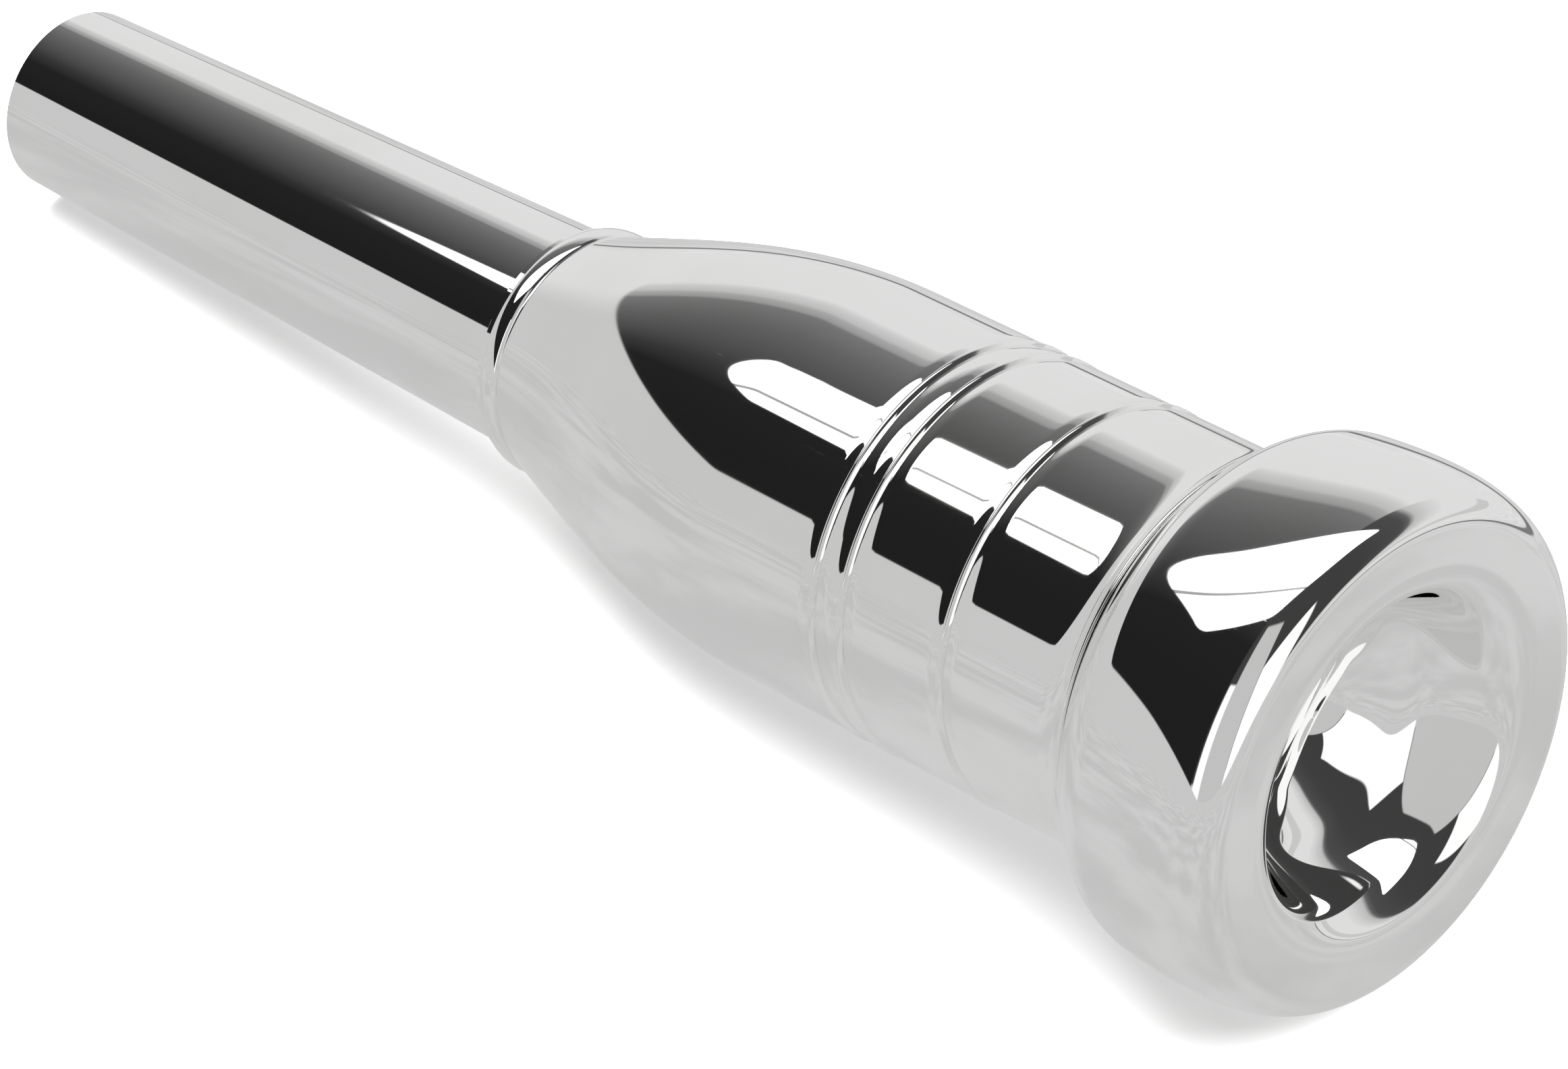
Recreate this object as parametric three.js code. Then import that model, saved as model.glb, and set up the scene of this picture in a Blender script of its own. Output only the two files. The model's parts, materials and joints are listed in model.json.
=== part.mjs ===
// A brass-instrument mouthpiece with a slip-on booster sleeve, lying on its side on a table.
//
// Every piece is turned about one axis, so each one is a closed outline revolved by LatheGeometry.
// An outline is a list of [radius, station] points in millimetres. A station is the distance along
// the axis from the end of the shank, and the rim is at the far end. Each outline runs up its
// outside towards the rim and back down its inside, which turns the faces outwards.
import * as THREE from 'three';

// ---- Whole object ----
const LENGTH = 89.5; // shank end to the crest of the rim
const FLATS = 48; // flats round each turned piece
const RUNNING_GAP = 0.2; // radial gap between the mouthpiece and the sleeve's bore

// ---- Mouthpiece: shank ----
const SHANK_END_RADIUS = 4.78;
const SHANK_TAPER = 1 / 40; // radius per mm of length, which is 1:20 on the diameter
const SHANK_CHAMFER = 0.18;
const BACKBORE_END_RADIUS = 4.15;

// ---- Mouthpiece: neck hidden inside the sleeve, and the flange behind the cup ----
const NECK_START = 46; // the neck leaves the taper here
const NECK_END = 78.6;
const NECK_END_RADIUS = 8.5;
const NECK_CURVE = 1.7; // how late the neck swells
const FLANGE_STATION = 79.45;
const FLANGE_RADIUS = 10.8;
const FLANGE_ROOT = 0.3; // radial step from the neck's end to the flange's back face

// ---- Mouthpiece: cup and rim ----
const BARREL_STATION = 82.3;
const BARREL_RADIUS = 12.76;
const WIDEST_STATION = 85.3;
const WIDEST_RADIUS = 12.93;
const CREST_OUTER_RADIUS = 11.0;
const CREST_INNER_RADIUS = 9.71;
const BITE_RADIUS = 7.36;
const BITE_STATION = 87.98;
const BOWL_RADIUS = 3.38; // where the bowl's floor turns into the throat
const BOWL_STATION = 84.0;
const THROAT_RADIUS = 1.83;
const THROAT_TOP = 80.52;
const THROAT_BOTTOM = 75.5;

// Points that each curve is pulled towards between its ends.
const FLARE_PULL = [12.6, 80.7];
const BARREL_PULL = [12.93, 84.0];
const RIM_PULLS = [[12.93, 87.8], [12.4, LENGTH]];
const BITE_PULLS = [[8.88, LENGTH], [7.98, 89.35]];
const BOWL_PULLS = [[6.01, 84.99], [5.67, 85.88]];
const SHOULDER_PULLS = [[2.3, 83.11], [1.83, 81.54]];
const BACKBORE_PULLS = [[2.3, 58], [3.9, 24]];

// ---- Booster sleeve ----
const COLLAR_STATION = 36.95;
const COLLAR_RADIUS = 6.08;
const COLLAR_BEAD_START = 37.3;
const COLLAR_BEAD_END = 38.45;
const BULB_START = 38.5;
const BULB_START_RADIUS = 6.2;
const BODY_START = 56;
const BODY_RADIUS = 9.95;
const BODY_END = 77.2;
const LIP_STATION = 79.2;
const LIP_RADIUS = 10.68;
const LIP_CREST = [LIP_RADIUS - 0.06, LIP_STATION - 0.2]; // where the lip's edge starts to round over
const LIP_FACE_RADIUS = LIP_RADIUS - 0.3; // where the rounded edge meets the lip's flat face
const BEAD_STATIONS = [63.2, 65.0, 71.2];
const BEAD_HALF_WIDTH = 0.2;
const BEAD_HEIGHT = 0.2;
const COVE_DEPTH = 0.13; // each bead stands in a shallow cove
const COVE_REAR = 0.7; // from the bead to the cove's edge on the shank side
const COVE_FRONT = 1.0; // and on the rim side
const BEAD_PLACES = [-COVE_REAR, -0.45, -0.2, -0.1, 0, 0.1, 0.2, 0.6, COVE_FRONT]; // points along a cove

// Points that each curve is pulled towards between its ends.
const COLLAR_BEAD_PULLS = [[6.44, 37.35], [6.44, 38.4]];
const BULB_PULLS = [[7.95, 44], [BODY_RADIUS, 49]];
const LIP_FLARE_PULL = [BODY_RADIUS, 78.3];
const LIP_EDGE_PULL = [LIP_RADIUS + 0.02, LIP_STATION];

// ---- O-rings: station along the axis and radius of the round section ----
const REAR_RING = { station: 45, section: 0.6 };
const FRONT_RING = { station: 71.2, section: 0.7 };
const RING_GAP = 0.1; // gap from an O-ring to its groove and to the mouthpiece
const RING_SIDES = 8;
const LAND = 1; // the bore runs plain up to this far from the middle of each groove

// ---- Outline helpers ----
const corner = ([radius, station]) => new THREE.Vector2(radius, station);

function bend(from, pull, to, steps) {
  const curve = new THREE.QuadraticBezierCurve(corner(from), corner(pull), corner(to));
  return curve.getPoints(steps).map((point) => [point.x, point.y]);
}

function sweep(from, pullFrom, pullTo, to, steps) {
  const curve = new THREE.CubicBezierCurve(corner(from), corner(pullFrom), corner(pullTo), corner(to));
  return curve.getPoints(steps).map((point) => [point.x, point.y]);
}

// The outside of the mouthpiece from the shank's end to the flange: a plain taper, then the neck.
function stemRadius(station) {
  const taper = SHANK_END_RADIUS + SHANK_TAPER * Math.min(station, NECK_START);
  if (station <= NECK_START) return taper;
  const along = (station - NECK_START) / (NECK_END - NECK_START);
  return taper + (NECK_END_RADIUS - taper) * along ** NECK_CURVE;
}

function stem(from, to, steps, gap = 0) {
  return Array.from({ length: steps + 1 }, (_, i) => {
    const station = from + ((to - from) * i) / steps;
    return [stemRadius(station) + gap, station];
  });
}

// A fine bead in the middle of a shallow cove, which is steeper on the shank side.
function bead(station) {
  return BEAD_PLACES.map((along) => {
    const reach = along < 0 ? COVE_REAR : COVE_FRONT;
    const dip = COVE_DEPTH * Math.cos(((along / reach) * Math.PI) / 2) ** 2;
    const bump = BEAD_HEIGHT * Math.max(0, 1 - (along / BEAD_HALF_WIDTH) ** 2);
    return [BODY_RADIUS - dip + bump, station + along];
  });
}

// A square groove in the sleeve's bore, listed from the rim side to the shank side.
function groove({ station, section }) {
  const half = section + RING_GAP;
  const floor = stemRadius(station) + 2 * section + 2 * RING_GAP;
  return [
    [stemRadius(station + half) + RUNNING_GAP, station + half],
    [floor, station + half],
    [floor, station - half],
    [stemRadius(station - half) + RUNNING_GAP, station - half],
  ];
}

// Revolve an outline about the axis. The flats touch the true round surface from outside, and one
// of them faces straight down, so the piece lies on flats at its real radius.
function turned(name, outline, material) {
  const halfFlat = Math.PI / FLATS;
  const closed = [...outline, outline[0]].filter((point, i, all) => {
    const last = all[i - 1];
    return !last || Math.hypot(point[0] - last[0], point[1] - last[1]) > 1e-6;
  });
  const points = closed.map(([radius, station]) => corner([radius / Math.cos(halfFlat), station]));
  const mesh = new THREE.Mesh(new THREE.LatheGeometry(points, FLATS, halfFlat), material);
  mesh.name = name;
  return mesh;
}

// ---- Materials ----
const polishedSilver = (name) =>
  new THREE.MeshStandardMaterial({ name, color: 0xeeebe6, roughness: 0.04, metalness: 1 });
const blackRubber = (name) =>
  new THREE.MeshStandardMaterial({ name, color: 0x17181a, roughness: 0.6, metalness: 0 });

// ---- Pieces ----
// The outside of the cup, from the flange to the crest of the rim.
function cupOutside() {
  return [
    ...bend([FLANGE_RADIUS, FLANGE_STATION], FLARE_PULL, [BARREL_RADIUS, BARREL_STATION], 5),
    ...bend([BARREL_RADIUS, BARREL_STATION], BARREL_PULL, [WIDEST_RADIUS, WIDEST_STATION], 3),
    ...sweep([WIDEST_RADIUS, WIDEST_STATION], ...RIM_PULLS, [CREST_OUTER_RADIUS, LENGTH], 12),
  ];
}

function mouthpiece() {
  const shank = [
    [BACKBORE_END_RADIUS, 0],
    [SHANK_END_RADIUS - SHANK_CHAMFER, 0],
    ...stem(SHANK_CHAMFER, NECK_START, 2),
  ];
  const neck = [...stem(NECK_START, NECK_END, 6), [NECK_END_RADIUS + FLANGE_ROOT, FLANGE_STATION]];
  const bite = sweep([CREST_INNER_RADIUS, LENGTH], ...BITE_PULLS, [BITE_RADIUS, BITE_STATION], 5);
  const bowl = sweep([BITE_RADIUS, BITE_STATION], ...BOWL_PULLS, [BOWL_RADIUS, BOWL_STATION], 8);
  const shoulder = sweep([BOWL_RADIUS, BOWL_STATION], ...SHOULDER_PULLS, [THROAT_RADIUS, THROAT_TOP], 4);
  const throat = [[THROAT_RADIUS, THROAT_BOTTOM]];
  const backbore = sweep([THROAT_RADIUS, THROAT_BOTTOM], ...BACKBORE_PULLS, [BACKBORE_END_RADIUS, 0], 5);
  const cupInside = [...bite, ...bowl, ...shoulder, ...throat];
  const outline = [...shank, ...neck, ...cupOutside(), ...cupInside, ...backbore];
  return turned('mouthpiece', outline, polishedSilver('mouthpiece_silver'));
}

function boosterSleeve() {
  const collarBead = sweep(
    [COLLAR_RADIUS, COLLAR_BEAD_START], ...COLLAR_BEAD_PULLS, [COLLAR_RADIUS, COLLAR_BEAD_END], 6);
  const collar = [
    [stemRadius(COLLAR_STATION) + RUNNING_GAP, COLLAR_STATION],
    [COLLAR_RADIUS, COLLAR_STATION],
    ...collarBead,
  ];
  const bulb = sweep([BULB_START_RADIUS, BULB_START], ...BULB_PULLS, [BODY_RADIUS, BODY_START], 9);
  const beads = BEAD_STATIONS.flatMap(bead);
  const flare = bend([BODY_RADIUS, BODY_END], LIP_FLARE_PULL, LIP_CREST, 4);
  const lip = bend(LIP_CREST, LIP_EDGE_PULL, [LIP_FACE_RADIUS, LIP_STATION], 3);
  const bore = [
    ...stem(LIP_STATION, FRONT_RING.station + LAND, 2, RUNNING_GAP),
    ...groove(FRONT_RING),
    ...stem(FRONT_RING.station - LAND, NECK_START, 4, RUNNING_GAP),
    ...groove(REAR_RING),
    ...stem(REAR_RING.station - LAND, COLLAR_STATION, 1, RUNNING_GAP),
  ];
  const outline = [...collar, ...bulb, ...beads, ...flare, ...lip, ...bore];
  return turned('booster_sleeve', outline, polishedSilver('sleeve_silver'));
}

function oRing(name, { station, section }) {
  const middle = stemRadius(station) + RING_GAP + section;
  const outline = Array.from({ length: RING_SIDES }, (_, i) => {
    const angle = (2 * Math.PI * (i + 0.5)) / RING_SIDES;
    return [middle + section * Math.cos(angle), station + section * Math.sin(angle)];
  });
  return turned(name, outline, blackRubber(`${name}_rubber`));
}

// ---- Assembly ----
// LatheGeometry turns about Y. The inner group lays that axis along +X, and the outer group lifts
// the rim so that the cup's outside and the shank's end both rest on the table.
const assembly = new THREE.Group();
assembly.add(mouthpiece());
assembly.add(boosterSleeve());
assembly.add(oRing('rear_o_ring', REAR_RING));
assembly.add(oRing('front_o_ring', FRONT_RING));
assembly.rotation.z = -Math.PI / 2;

const foot = [stemRadius(SHANK_CHAMFER), SHANK_CHAMFER];
const slopes = cupOutside().map(([radius, station]) => (radius - foot[0]) / (station - foot[1]));
const tilt = Math.atan(Math.max(...slopes));
const lyingDown = new THREE.Group();
lyingDown.rotation.y = -tilt;
lyingDown.add(assembly);

const part = new THREE.Group();
part.add(lyingDown);
part.updateMatrixWorld(true);
const extent = new THREE.Box3().setFromObject(part, true);
lyingDown.position.x = -(extent.min.x + extent.max.x) / 2;
lyingDown.position.z = -extent.min.z;

export default part;
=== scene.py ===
import json
import math

import bpy
from mathutils import Matrix, Vector


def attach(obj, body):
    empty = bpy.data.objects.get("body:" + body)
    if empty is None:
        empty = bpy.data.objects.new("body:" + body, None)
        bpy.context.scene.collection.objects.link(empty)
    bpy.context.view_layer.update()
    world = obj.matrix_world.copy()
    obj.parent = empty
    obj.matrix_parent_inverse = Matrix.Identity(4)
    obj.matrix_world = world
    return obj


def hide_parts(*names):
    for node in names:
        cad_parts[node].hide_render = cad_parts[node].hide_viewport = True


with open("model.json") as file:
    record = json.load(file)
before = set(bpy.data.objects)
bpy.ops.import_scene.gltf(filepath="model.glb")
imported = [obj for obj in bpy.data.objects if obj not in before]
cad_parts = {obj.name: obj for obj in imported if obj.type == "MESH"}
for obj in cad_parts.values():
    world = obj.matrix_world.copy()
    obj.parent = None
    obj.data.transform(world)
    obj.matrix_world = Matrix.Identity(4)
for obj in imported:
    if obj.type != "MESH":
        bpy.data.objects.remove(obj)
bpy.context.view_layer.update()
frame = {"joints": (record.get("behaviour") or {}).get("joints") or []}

MM = 0.001
SEGMENTS = 240  # steps round each revolved piece
CREASE = math.radians(38)  # an edge sharper than this is shaded as a corner
SAME_POINT = 1e-5  # mm

# ---- The frame: where the axis is ----
TURN = next(joint for joint in frame["joints"] if joint["name"] == "sleeve_turn")
AXIS = Vector(TURN["axis"]).normalized()
TURN_STATION = 58.0  # the joint's point lies this far along the axis
AXIS_START = Vector(TURN["pos_m"]) - AXIS * TURN_STATION * MM
TRIM = 0.9998  # keeps these smooth curves inside the CAD model's box
UPRIGHT = Matrix.Translation(AXIS_START) @ AXIS.to_track_quat("Z", "Y").to_matrix().to_4x4()
PLACEMENT = UPRIGHT @ Matrix.Scale(TRIM, 4)

# ---- Mouthpiece ----
LENGTH = 89.5
RUNNING_GAP = 0.2
SHANK_END_RADIUS = 4.78
SHANK_TAPER = 1 / 40
SHANK_CHAMFER = 0.18
BACKBORE_END_RADIUS = 4.15
NECK_START = 46.0
NECK_END = 78.6
NECK_END_RADIUS = 8.5
NECK_CURVE = 1.7  # how late the neck swells
FLANGE_STATION = 79.45
FLANGE_RADIUS = 10.8
FLANGE_ROOT = 0.3  # radial step from the neck's end to the flange's back face
BARREL_STATION = 82.3
BARREL_RADIUS = 12.76
WIDEST_STATION = 85.3
WIDEST_RADIUS = 12.93
CREST_OUTER_RADIUS = 11.0
CREST_INNER_RADIUS = 9.71
BITE_RADIUS = 7.36
BITE_STATION = 87.98
BOWL_RADIUS = 3.38
BOWL_STATION = 84.0
THROAT_RADIUS = 1.83
THROAT_TOP = 80.52
THROAT_BOTTOM = 75.5

# Points that each curve is pulled towards between its ends.
FLARE_PULL = (12.6, 80.7)
BARREL_PULL = (12.93, 84.0)
RIM_PULLS = ((12.93, 87.8), (12.4, LENGTH))
BITE_PULLS = ((8.88, LENGTH), (7.98, 89.35))
BOWL_PULLS = ((6.01, 84.99), (5.67, 85.88))
SHOULDER_PULLS = ((2.3, 83.11), (1.83, 81.54))
BACKBORE_PULLS = ((2.3, 58.0), (3.9, 24.0))

# ---- Booster sleeve ----
COLLAR_STATION = 36.95
COLLAR_RADIUS = 6.08
COLLAR_BEAD_START = 37.3
COLLAR_BEAD_END = 38.45
COLLAR_BEAD_PULLS = ((6.44, 37.35), (6.44, 38.4))
COLLAR_BEVEL = 0.05
BULB_START = 38.5
BULB_START_RADIUS = 6.2
BODY_START = 56.0
BODY_RADIUS = 9.95
BULB_PULLS = ((7.95, 44.0), (BODY_RADIUS, 49.0))
BODY_END = 77.2
LIP_STATION = 79.2
LIP_RADIUS = 10.68
LIP_FLARE_PULL = (BODY_RADIUS, 78.3)
LIP_CREST = (LIP_RADIUS - 0.06, LIP_STATION - 0.2)  # where the lip's edge starts to round over
LIP_EDGE_PULL = (LIP_RADIUS + 0.02, LIP_STATION)
LIP_FACE_RADIUS = LIP_RADIUS - 0.3  # where the rounded edge meets the lip's flat face
BEAD_STATIONS = (63.2, 65.0, 71.2)
BEAD_HALF_WIDTH = 0.2
BEAD_HEIGHT = 0.2
COVE_DEPTH = 0.13  # each bead stands in a shallow cove
COVE_REAR = 0.7  # from the bead to the cove's edge on the shank side
COVE_FRONT = 1.0  # and on the rim side

# ---- O-rings: station and radius of the round section ----
REAR_RING = (45.0, 0.6)
FRONT_RING = (71.2, 0.7)
RING_GAP = 0.1
RING_STEPS = 24  # round each O-ring's section
RING_SEGMENTS = 120
LAND = 1  # the bore runs plain up to this far from the middle of each groove


# ---- Outline helpers ----
def bend(start, pull, end, steps):
    """A quadratic curve from start to end, pulled towards one point."""
    points = []
    for i in range(steps + 1):
        t = i / steps
        a, b, c = (1 - t) ** 2, 2 * (1 - t) * t, t * t
        points.append(tuple(a * start[k] + b * pull[k] + c * end[k] for k in (0, 1)))
    return points


def sweep(start, pull_start, pull_end, end, steps):
    """A cubic curve from start to end, pulled towards two points."""
    points = []
    for i in range(steps + 1):
        t = i / steps
        weights = ((1 - t) ** 3, 3 * (1 - t) ** 2 * t, 3 * (1 - t) * t * t, t**3)
        corners = (start, pull_start, pull_end, end)
        points.append(tuple(sum(w * p[k] for w, p in zip(weights, corners)) for k in (0, 1)))
    return points


def stem_radius(station):
    taper = SHANK_END_RADIUS + SHANK_TAPER * min(station, NECK_START)
    if station <= NECK_START:
        return taper
    along = (station - NECK_START) / (NECK_END - NECK_START)
    return taper + (NECK_END_RADIUS - taper) * along**NECK_CURVE


def stem(start, end, steps, gap=0.0):
    stations = [start + (end - start) * i / steps for i in range(steps + 1)]
    return [(stem_radius(s) + gap, s) for s in stations]


def bead(station, steps=28):
    """A fine bead in the middle of a shallow cove, which is steeper on the shank side."""
    points = []
    for i in range(steps + 1):
        along = -COVE_REAR + (COVE_REAR + COVE_FRONT) * i / steps
        reach = COVE_REAR if along < 0 else COVE_FRONT
        dip = COVE_DEPTH * math.cos(along / reach * math.pi / 2) ** 2
        bump = BEAD_HEIGHT * max(0.0, 1 - (along / BEAD_HALF_WIDTH) ** 2)
        points.append((BODY_RADIUS - dip + bump, station + along))
    return points


def level(radius, start, end, step=0.25):
    """A straight length of the body with rings near both ends, so that shading stays flat along it."""
    if end - start < 2 * step:
        return []
    return [(radius, start + step), (radius, (start + end) / 2), (radius, end - step)]


def groove(ring):
    station, section = ring
    half = section + RING_GAP
    floor = stem_radius(station) + 2 * section + 2 * RING_GAP
    return [
        (stem_radius(station + half) + RUNNING_GAP, station + half),
        (floor, station + half),
        (floor, station - half),
        (stem_radius(station - half) + RUNNING_GAP, station - half),
    ]


# ---- Mesh ----
def revolve(name, outline, segments=SEGMENTS):
    """A closed outline turned about the axis, with its vertices in the row frame."""
    rings = []
    for point in outline:
        if not rings or math.dist(point, rings[-1]) > SAME_POINT:
            rings.append(point)
    if math.dist(rings[0], rings[-1]) < SAME_POINT:
        rings.pop()
    angles = [2 * math.pi * k / segments for k in range(segments)]
    vertices = [
        (radius * MM * math.cos(a), radius * MM * math.sin(a), station * MM)
        for radius, station in rings
        for a in angles
    ]
    faces = []
    for i in range(len(rings)):
        j = (i + 1) % len(rings)
        for k in range(segments):
            m = (k + 1) % segments
            faces.append((i * segments + k, i * segments + m, j * segments + m, j * segments + k))
    mesh = bpy.data.meshes.new(name)
    mesh.from_pydata(vertices, [], faces)
    mesh.transform(PLACEMENT)
    mesh.shade_smooth()
    mesh.set_sharp_from_angle(angle=CREASE)
    piece = bpy.data.objects.new(name, mesh)
    bpy.context.scene.collection.objects.link(piece)
    return piece


# ---- Node helpers ----
def linear(tone):
    """The light level that shows as this tone, from 0 to 255, on a screen."""
    value = tone / 255
    return ((value + 0.055) / 1.055) ** 2.4


def add_node(tree, kind, *inputs, **settings):
    """Adds a node, sets its properties, and fills its inputs in order with values or other outputs."""
    node = tree.nodes.new(kind)
    for name, value in settings.items():
        setattr(node, name, value)
    for socket, value in zip(node.inputs, inputs):
        if isinstance(value, bpy.types.NodeSocket):
            tree.links.new(value, socket)
        elif value is not None:
            socket.default_value = value
    return node.outputs[0]


def maths(tree, operation, *inputs, clamp=False):
    return add_node(tree, "ShaderNodeMath", *inputs, operation=operation, use_clamp=clamp)


def fade(tree, value, start, end):
    """Rises smoothly from 0 at start to 1 at end."""
    smooth = {"interpolation_type": "SMOOTHSTEP"}
    return add_node(tree, "ShaderNodeMapRange", value, start, end, 0.0, 1.0, **smooth)


def dot(tree, direction, normal):
    add_node(tree, "ShaderNodeVectorMath", direction, tuple(normal), operation="DOT_PRODUCT")
    return tree.nodes[-1].outputs["Value"]


def blend_levels(tree, mask, below, above):
    """The level below where the mask is 0 and the level above where it is 1."""
    keep = maths(tree, "MULTIPLY", below, maths(tree, "SUBTRACT", 1.0, mask))
    return maths(tree, "ADD", keep, maths(tree, "MULTIPLY", above, mask))


# ---- Materials: noise grains are in cycles per metre across, across and along the axis ----
HAZE_GRAIN = (90, 90, 90)
TURNING_GRAIN = (12, 12, 9000)
HAIRLINE_GRAIN = (2600, 2600, 130)
WEAR_GRAIN = (160, 160, 60)
RIPPLE_GRAIN = (140, 140, 110)
CLEAN_ROUGHNESS = 0.018
HAZE_ROUGHNESS = 0.03
HAIRLINE_ROUGHNESS = 0.16
TURNING_ROUGHNESS = 0.012
HAZE_SPREAD = (0.42, 0.72)  # where in the noise each of these starts and is full
HAIRLINE_SPREAD = (0.66, 0.78)
WEAR_SPREAD = (0.5, 0.62)
GREASE_SPREAD = (0.45, 0.65)
BRIGHT_SILVER = (0.925, 0.925, 0.921, 1)
HAZY_SILVER = (0.885, 0.882, 0.868, 1)
RIPPLE_HEIGHT = 0.0000045  # metres
TURNING_HEIGHT = 0.012  # as a share of the ripple's
RUBBER_GRAIN = (4000, 4000, 4000)
GREASE_GRAIN = (300, 300, 300)
DRY_ROUGHNESS = 0.62
GREASE_SHINE = 0.25  # how much grease takes off the roughness
RUBBER_DARK = (0.010, 0.010, 0.011, 1)
RUBBER_DUSTY = (0.024, 0.023, 0.022, 1)
RUBBER_PITS = 0.00003  # metres


def new_material(name):
    material = bpy.data.materials.new(name)
    material.use_nodes = True
    tree = material.node_tree
    tree.nodes.clear()
    output = tree.nodes.new("ShaderNodeOutputMaterial")
    shader = tree.nodes.new("ShaderNodeBsdfPrincipled")
    tree.links.new(shader.outputs["BSDF"], output.inputs["Surface"])
    return material, tree, shader


def axis_coordinates(tree):
    """Object coordinates turned so that their Z runs along the mouthpiece's axis."""
    place = tree.nodes.new("ShaderNodeTexCoord").outputs["Object"]
    mapping = tree.nodes.new("ShaderNodeMapping")
    mapping.vector_type = "TEXTURE"
    mapping.inputs["Location"].default_value = UPRIGHT.to_translation()
    mapping.inputs["Rotation"].default_value = UPRIGHT.to_euler()
    tree.links.new(place, mapping.inputs["Vector"])
    return mapping.outputs["Vector"]


def noise(tree, place, scales, detail, seed):
    """Noise from 0 to 1 whose grain along each axis is set by scales, in cycles per metre."""
    stretched = add_node(tree, "ShaderNodeVectorMath", place, tuple(scales), operation="MULTIPLY")
    texture = tree.nodes.new("ShaderNodeTexNoise")
    texture.noise_dimensions = "4D"
    tree.links.new(stretched, texture.inputs["Vector"])
    texture.inputs["W"].default_value = seed
    texture.inputs["Scale"].default_value = 1.0
    texture.inputs["Detail"].default_value = detail
    return texture.outputs["Fac"]


def mix_colours(tree, mask, first, second, socket):
    """Feeds a socket with the first colour where the mask is 0 and the second where it is 1."""
    mix = tree.nodes.new("ShaderNodeMix")
    mix.data_type = "RGBA"
    mix.inputs[6].default_value = first
    mix.inputs[7].default_value = second
    tree.links.new(mask, mix.inputs["Factor"])
    tree.links.new(mix.outputs[2], socket)


def add_bump(tree, height, strength, distance, socket):
    bump = tree.nodes.new("ShaderNodeBump")
    bump.inputs["Strength"].default_value = strength
    bump.inputs["Distance"].default_value = distance
    tree.links.new(height, bump.inputs["Height"])
    tree.links.new(bump.outputs["Normal"], socket)


def silver(name, seed):
    """Bright silver plate: a mirror with a faint haze, hairlines from turning and a slight ripple."""
    material, tree, shader = new_material(name)
    place = axis_coordinates(tree)
    haze = fade(tree, noise(tree, place, HAZE_GRAIN, 4, seed), *HAZE_SPREAD)
    turning = noise(tree, place, TURNING_GRAIN, 2, seed + 10)
    hairlines = fade(tree, noise(tree, place, HAIRLINE_GRAIN, 3, seed + 20), *HAIRLINE_SPREAD)
    wear = fade(tree, noise(tree, place, WEAR_GRAIN, 2, seed + 30), *WEAR_SPREAD)
    worn = maths(tree, "MULTIPLY", maths(tree, "MULTIPLY", hairlines, wear), HAIRLINE_ROUGHNESS)
    dull = maths(tree, "ADD", maths(tree, "MULTIPLY", haze, HAZE_ROUGHNESS), worn)
    lined = maths(tree, "MULTIPLY", turning, TURNING_ROUGHNESS)
    rough = maths(tree, "ADD", lined, maths(tree, "ADD", dull, CLEAN_ROUGHNESS))
    tree.links.new(rough, shader.inputs["Roughness"])
    mix_colours(tree, haze, BRIGHT_SILVER, HAZY_SILVER, shader.inputs["Base Color"])
    ripple = noise(tree, place, RIPPLE_GRAIN, 1, seed + 40)
    height = maths(tree, "ADD", ripple, maths(tree, "MULTIPLY", turning, TURNING_HEIGHT))
    add_bump(tree, height, 1.0, RIPPLE_HEIGHT, shader.inputs["Normal"])
    shader.inputs["Metallic"].default_value = 1.0
    return material


def rubber(name, seed):
    """Dark rubber with a fine moulded grain and a thin film of grease in places."""
    material, tree, shader = new_material(name)
    place = axis_coordinates(tree)
    grain = noise(tree, place, RUBBER_GRAIN, 3, seed)
    grease = fade(tree, noise(tree, place, GREASE_GRAIN, 2, seed + 10), *GREASE_SPREAD)
    rough = maths(tree, "SUBTRACT", DRY_ROUGHNESS, maths(tree, "MULTIPLY", grease, GREASE_SHINE))
    tree.links.new(rough, shader.inputs["Roughness"])
    mix_colours(tree, grain, RUBBER_DARK, RUBBER_DUSTY, shader.inputs["Base Color"])
    add_bump(tree, grain, 0.4, RUBBER_PITS, shader.inputs["Normal"])
    return material


# ---- Pieces ----
def make_mouthpiece():
    shank = [
        (BACKBORE_END_RADIUS, 0),
        (SHANK_END_RADIUS - SHANK_CHAMFER, 0),
        *stem(SHANK_CHAMFER, NECK_START, 12),
    ]
    neck = [*stem(NECK_START, NECK_END, 24), (NECK_END_RADIUS + FLANGE_ROOT, FLANGE_STATION)]
    flare = bend((FLANGE_RADIUS, FLANGE_STATION), FLARE_PULL, (BARREL_RADIUS, BARREL_STATION), 32)
    barrel = bend((BARREL_RADIUS, BARREL_STATION), BARREL_PULL, (WIDEST_RADIUS, WIDEST_STATION), 20)
    rim = sweep((WIDEST_RADIUS, WIDEST_STATION), *RIM_PULLS, (CREST_OUTER_RADIUS, LENGTH), 48)
    bite = sweep((CREST_INNER_RADIUS, LENGTH), *BITE_PULLS, (BITE_RADIUS, BITE_STATION), 32)
    bowl = sweep((BITE_RADIUS, BITE_STATION), *BOWL_PULLS, (BOWL_RADIUS, BOWL_STATION), 48)
    shoulder = sweep((BOWL_RADIUS, BOWL_STATION), *SHOULDER_PULLS, (THROAT_RADIUS, THROAT_TOP), 20)
    backbore = sweep((THROAT_RADIUS, THROAT_BOTTOM), *BACKBORE_PULLS, (BACKBORE_END_RADIUS, 0), 32)
    outline = [*shank, *neck, *flare, *barrel, *rim, *bite, *bowl, *shoulder, *backbore]
    piece = revolve("polished_mouthpiece", outline)
    piece.data.materials.append(silver("mouthpiece_silver_plate", 1.0))
    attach(piece, "mouthpiece")
    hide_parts("mouthpiece")


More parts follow.
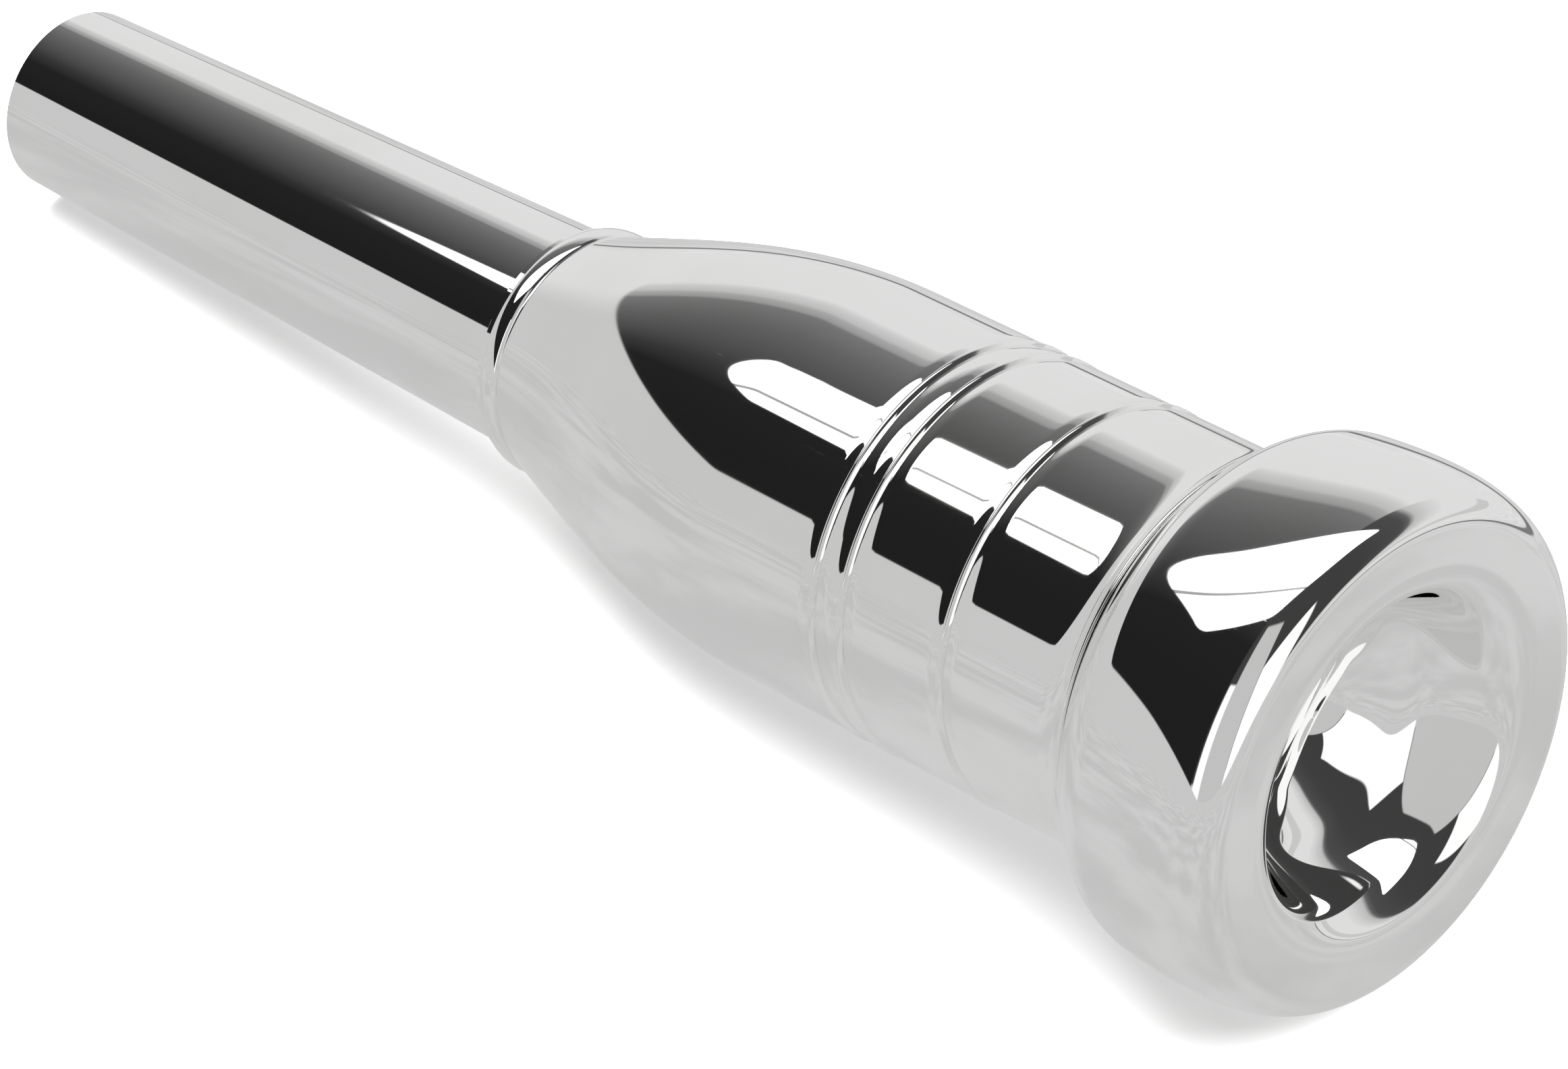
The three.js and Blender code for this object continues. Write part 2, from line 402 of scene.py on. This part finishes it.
def make_sleeve():
    bead_start, bead_end = (COLLAR_RADIUS, COLLAR_BEAD_START), (COLLAR_RADIUS, COLLAR_BEAD_END)
    collar = [
        (stem_radius(COLLAR_STATION) + RUNNING_GAP, COLLAR_STATION),
        (COLLAR_RADIUS - COLLAR_BEVEL, COLLAR_STATION),
        (COLLAR_RADIUS, COLLAR_STATION + COLLAR_BEVEL),
        *sweep(bead_start, *COLLAR_BEAD_PULLS, bead_end, 24),
    ]
    bulb = sweep((BULB_START_RADIUS, BULB_START), *BULB_PULLS, (BODY_RADIUS, BODY_START), 64)
    body = []
    last = BODY_START
    for station in BEAD_STATIONS:
        body += level(BODY_RADIUS, last, station - COVE_REAR)
        body += bead(station)
        last = station + COVE_FRONT
    body += level(BODY_RADIUS, last, BODY_END)
    flare = bend((BODY_RADIUS, BODY_END), LIP_FLARE_PULL, LIP_CREST, 20)
    lip = bend(LIP_CREST, LIP_EDGE_PULL, (LIP_FACE_RADIUS, LIP_STATION), 12)
    bore = [
        *stem(LIP_STATION, FRONT_RING[0] + LAND, 8, RUNNING_GAP),
        *groove(FRONT_RING),
        *stem(FRONT_RING[0] - LAND, NECK_START, 24, RUNNING_GAP),
        *groove(REAR_RING),
        *stem(REAR_RING[0] - LAND, COLLAR_STATION, 4, RUNNING_GAP),
    ]
    piece = revolve("polished_booster_sleeve", [*collar, *bulb, *body, *flare, *lip, *bore])
    piece.data.materials.append(silver("sleeve_silver_plate", 5.0))
    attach(piece, "sleeve")
    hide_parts("booster_sleeve")


def make_ring(name, node, ring):
    station, section = ring
    middle = stem_radius(station) + RING_GAP + section
    turns = [2 * math.pi * i / RING_STEPS for i in range(RING_STEPS)]
    outline = [(middle + section * math.cos(t), station + section * math.sin(t)) for t in turns]
    piece = revolve(name, outline, RING_SEGMENTS)
    piece.data.materials.append(rubber(name + "_rubber", station))
    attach(piece, "o_rings")
    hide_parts(node)


# ---- Camera ----
CAMERA_PLACE = Vector((182.361, -176.844, 204.459)) * MM
CAMERA_AZIMUTH = math.radians(44.83)
CAMERA_ELEVATION = math.radians(38.66)
LENS = 154.9
SENSOR = 36.0


def make_camera():
    data = bpy.data.cameras.new("camera")
    data.lens = LENS
    data.sensor_width = SENSOR
    data.clip_start = 0.01
    data.clip_end = 10.0
    camera = bpy.data.objects.new("camera", data)
    bpy.context.scene.collection.objects.link(camera)
    back = Vector((
        math.sin(CAMERA_AZIMUTH) * math.cos(CAMERA_ELEVATION),
        -math.cos(CAMERA_AZIMUTH) * math.cos(CAMERA_ELEVATION),
        math.sin(CAMERA_ELEVATION),
    ))
    camera.rotation_mode = "QUATERNION"
    camera.location = CAMERA_PLACE
    camera.rotation_quaternion = (-back).to_track_quat("-Z", "Y")
    bpy.context.scene.camera = camera


# ---- Studio: what the plating reflects ----
# Overhead shapes are given where they cross a ceiling one unit above the object, as (x, y).
SOFTBOX = (
    (-1.28, -0.38), (-0.88, -0.73), (0.05, -0.30), (0.34, 0.22),
    (0.42, 0.85), (-0.55, 0.26), (-1.15, -0.11),
)
SOFTBOX_ROUNDING = 0.05
SEAM = ((-1.05, -0.42), (-0.2, -0.14))  # a strip joint across the softbox
SEAM_HALF_WIDTH = 0.013
SEAM_LEVEL = 0.35
SOFTBOX_LEVEL = 1.8
# Tones from 0 to 255 by y on the ceiling, on the side that the shank points to.
CEILING_TONES = (
    (-1.6, 30), (-0.6, 33), (-0.3, 54), (0.0, 78), (0.35, 96), (0.76, 116), (0.82, 150),
    (0.95, 164), (1.03, 186), (1.25, 200), (1.45, 218),
)
FAR_SIDE_SLANT = 0.5  # on the other side the tones follow y less this much x
FAR_SIDE_TONES = ((-0.6, 60), (0.2, 62), (0.9, 74), (1.05, 96), (1.22, 186), (1.7, 205), (2.4, 218))
# Upright panels on the camera's side: start and end azimuth in degrees, top edge on the ceiling, tone.
PANELS = (
    (-77, -33, ((0.10, -0.38), (0.42, -0.25)), 190),
    (-87, -77, ((0.05, -1.05), (0.25, -1.0)), 255),
    (-32, 10, ((1.01, -0.45), (1.19, 0.13)), 255),
)
PANEL_EDGE = 0.014
FRONT_HORIZON = 0.06  # on the camera's side the table ends this high up
FRONT_HORIZON_BLUR = 0.03
HORIZON_EDGE = 0.006
LEAST_RISE = 0.03  # keeps ceiling coordinates finite near the horizon
HORIZON = Vector((0.287, 0.06, 1)).normalized()  # square to the plane where the pale table ends
TABLE_TONES = (196, 218)  # on the -Y side and on the +Y side
PAINTED_LINE_PLACE = 0.072  # the y of a painted dark line along X in the floor's reflected glow, which shows as a dark line along the plating's upper outline
PAINTED_LINE_HALF_WIDTH = 0.004
PAINTED_LINE_FADED = 0.009  # half width where the line has faded out
PAINTED_LINE_TONE = 120
PAINTED_BLOTCHES = (0.94, 0.13)  # painted blotches in the floor's reflected tone: the darkest share of that tone, and how much lighter it gets
PLATE_REFLECTANCE = 0.9


def plane_distance(tree, direction, first, second):
    """How far a direction is to the left of the line from the first ceiling point to the second."""
    normal = Vector((*first, 1)).cross(Vector((*second, 1))).normalized()
    return dot(tree, direction, normal)


def ceiling_shape(tree, direction, corners, rounding):
    """1 inside the round-cornered ceiling shape, whose corners run anticlockwise in (x, y)."""
    mask = None
    for i, corner in enumerate(corners):
        side = plane_distance(tree, direction, corner, corners[(i + 1) % len(corners)])
        side = fade(tree, side, -rounding, rounding)
        mask = side if mask is None else maths(tree, "MULTIPLY", mask, side)
    return fade(tree, mask, 0.42, 0.58)


def panel_shape(tree, direction, start, end, top):
    """1 between two azimuths, in degrees, and below the ceiling line through the two top points."""
    mask = fade(tree, plane_distance(tree, direction, *reversed(top)), -PANEL_EDGE, PANEL_EDGE)
    for azimuth, side in ((start, 1), (end, -1)):
        angle = math.radians(azimuth)
        normal = (-side * math.sin(angle), side * math.cos(angle), 0.0)
        inside = fade(tree, dot(tree, direction, normal), -PANEL_EDGE, PANEL_EDGE)
        mask = maths(tree, "MULTIPLY", mask, inside)
    return mask


def tone_ramp(tree, value, stops):
    """Light levels that follow a value through (value, tone) stops."""
    low, high = stops[0][0], stops[-1][0]
    place = maths(tree, "DIVIDE", maths(tree, "SUBTRACT", value, low), high - low, clamp=True)
    add_node(tree, "ShaderNodeValToRGB", place)
    ramp = tree.nodes[-1].color_ramp
    while len(ramp.elements) < len(stops):
        ramp.elements.new(0.5)
    for element, (position, tone) in zip(ramp.elements, stops):
        element.position = (position - low) / (high - low)
        element.color = (linear(tone),) * 3 + (1,)
    return add_node(tree, "ShaderNodeRGBToBW", tree.nodes[-1].outputs["Color"])


def make_world():
    world = bpy.data.worlds.new("studio")
    bpy.context.scene.world = world
    world.use_nodes = True
    tree = world.node_tree
    background = tree.nodes["Background"]
    direction = tree.nodes.new("ShaderNodeTexCoord").outputs["Generated"]
    split = tree.nodes.new("ShaderNodeSeparateXYZ")
    tree.links.new(direction, split.inputs[0])
    x, y, z = split.outputs
    rise = maths(tree, "MAXIMUM", z, LEAST_RISE)
    across = maths(tree, "DIVIDE", y, rise)
    near_side = tone_ramp(tree, across, CEILING_TONES)
    along = maths(tree, "DIVIDE", x, rise)
    slanted = maths(tree, "SUBTRACT", across, maths(tree, "MULTIPLY", along, FAR_SIDE_SLANT))
    far_side = tone_ramp(tree, slanted, FAR_SIDE_TONES)
    above_front = fade(tree, z, FRONT_HORIZON, FRONT_HORIZON + FRONT_HORIZON_BLUR)
    far_side = blend_levels(tree, above_front, linear(TABLE_TONES[0]), far_side)
    for start, end, top, tone in PANELS:
        panel = panel_shape(tree, direction, start, end, top)
        far_side = blend_levels(tree, panel, far_side, linear(tone))
    level = blend_levels(tree, fade(tree, x, 0.0, 0.03), near_side, far_side)
    above_table = fade(tree, dot(tree, direction, HORIZON), -HORIZON_EDGE, HORIZON_EDGE)
    near_table = linear(TABLE_TONES[0])
    table = blend_levels(tree, fade(tree, y, 0.0, 0.25), near_table, linear(TABLE_TONES[1]))
    level = blend_levels(tree, above_table, table, level)
    softbox = ceiling_shape(tree, direction, SOFTBOX, SOFTBOX_ROUNDING)
    seam = maths(tree, "ABSOLUTE", plane_distance(tree, direction, *SEAM))
    clear = fade(tree, seam, SEAM_HALF_WIDTH / 2, SEAM_HALF_WIDTH)
    lit = blend_levels(tree, clear, SEAM_LEVEL, SOFTBOX_LEVEL)
    level = blend_levels(tree, softbox, level, lit)
    reflected = maths(tree, "DIVIDE", level, PLATE_REFLECTANCE)
    camera = tree.nodes.new("ShaderNodeLightPath").outputs["Is Camera Ray"]
    shown = blend_levels(tree, camera, reflected, 1.0)
    tree.links.new(shown, background.inputs["Color"])


# ---- Stage ----
FLOOR_HALF_SIZE = 1.5
FLOOR_REFLECTANCE = 0.8
FLOOR_ROUGHNESS = 0.8
FLOOR_LIFT = 0.3  # light added to the floor that the camera sees, which keeps the shadow pale
# Painted blotches in the floor's glow that only reflected rays see.
REFLECTION_BLOTCH_GRAIN = (70, 70, 70)
REFLECTION_BLOTCH_SPREAD = (0.4, 0.62)
SOFTBOX_SIZE = 0.8
SOFTBOX_PLACE = (0.05, 0.12, 0.35)
SOFTBOX_WATTS = 14.0


def make_floor():
    """A pale floor. For reflected rays it glows instead of being lit: a painted reflection of a table,
    greyer than the floor looks, with painted blotches and a painted dark line.
    """
    size = FLOOR_HALF_SIZE
    mesh = bpy.data.meshes.new("floor")
    corners = [(-size, -size, 0), (size, -size, 0), (size, size, 0), (-size, size, 0)]
    mesh.from_pydata(corners, [], [(0, 1, 2, 3)])
    floor = bpy.data.objects.new("floor", mesh)
    bpy.context.scene.collection.objects.link(floor)
    material, tree, shader = new_material("floor")
    shader.inputs["Base Color"].default_value = (FLOOR_REFLECTANCE,) * 3 + (1,)
    shader.inputs["Roughness"].default_value = FLOOR_ROUGHNESS
    place = tree.nodes.new("ShaderNodeTexCoord").outputs["Object"]
    split = tree.nodes.new("ShaderNodeSeparateXYZ")
    tree.links.new(place, split.inputs[0])
    # Painted reflection: the grey table tone below glows for reflected rays only; the camera sees the
    # lit floor with its lift.
    far = fade(tree, split.outputs["Y"], 0.0, 0.12)
    table = blend_levels(tree, far, linear(TABLE_TONES[0]), linear(TABLE_TONES[1]))
    # Painted reflection: blotches that give the plating's lower side a mottled tone.
    reflection_blotch = fade(tree, noise(tree, place, REFLECTION_BLOTCH_GRAIN, 8, 3.0), *REFLECTION_BLOTCH_SPREAD)
    darkest, gain = PAINTED_BLOTCHES
    share = maths(tree, "ADD", darkest, maths(tree, "MULTIPLY", reflection_blotch, gain))
    table = maths(tree, "MULTIPLY", table, share)
    # Painted reflection: a dark line in the floor's glow that shows along the plating's upper outline.
    off_painted_line = maths(tree, "SUBTRACT", split.outputs["Y"], PAINTED_LINE_PLACE)
    off_painted_line = maths(tree, "ABSOLUTE", off_painted_line)
    clear = fade(tree, off_painted_line, PAINTED_LINE_HALF_WIDTH, PAINTED_LINE_FADED)
    table = blend_levels(tree, clear, linear(PAINTED_LINE_TONE), table)
    # Painted reflection: for reflected rays the floor glows with this set tone instead of being lit.
    reflection_glow = tree.nodes.new("ShaderNodeEmission")
    tree.links.new(maths(tree, "DIVIDE", table, PLATE_REFLECTANCE), reflection_glow.inputs["Color"])
    lift = tree.nodes.new("ShaderNodeEmission")
    lift.inputs["Strength"].default_value = FLOOR_LIFT
    lit = tree.nodes.new("ShaderNodeAddShader")
    tree.links.new(shader.outputs["BSDF"], lit.inputs[0])
    tree.links.new(lift.outputs[0], lit.inputs[1])
    mix = tree.nodes.new("ShaderNodeMixShader")
    camera = tree.nodes.new("ShaderNodeLightPath").outputs["Is Camera Ray"]
    tree.links.new(camera, mix.inputs[0])
    tree.links.new(reflection_glow.outputs[0], mix.inputs[1])
    tree.links.new(lit.outputs[0], mix.inputs[2])
    output = next(node for node in tree.nodes if node.type == "OUTPUT_MATERIAL")
    tree.links.new(mix.outputs[0], output.inputs["Surface"])
    mesh.materials.append(material)


def make_key_light():
    data = bpy.data.lights.new("softbox", "AREA")
    data.shape = "RECTANGLE"
    data.size = SOFTBOX_SIZE
    data.size_y = SOFTBOX_SIZE
    data.energy = SOFTBOX_WATTS
    light = bpy.data.objects.new("softbox", data)
    light.location = SOFTBOX_PLACE
    light.rotation_mode = "QUATERNION"
    light.rotation_quaternion = light.location.to_track_quat("Z", "Y")
    bpy.context.scene.collection.objects.link(light)
    light.visible_camera = False
    light.visible_glossy = False


make_camera()
make_mouthpiece()
make_sleeve()
make_ring("rear_rubber_ring", "rear_o_ring", REAR_RING)
make_ring("front_rubber_ring", "front_o_ring", FRONT_RING)
make_floor()
make_world()
make_key_light()
bpy.context.scene.view_settings.view_transform = "Standard"
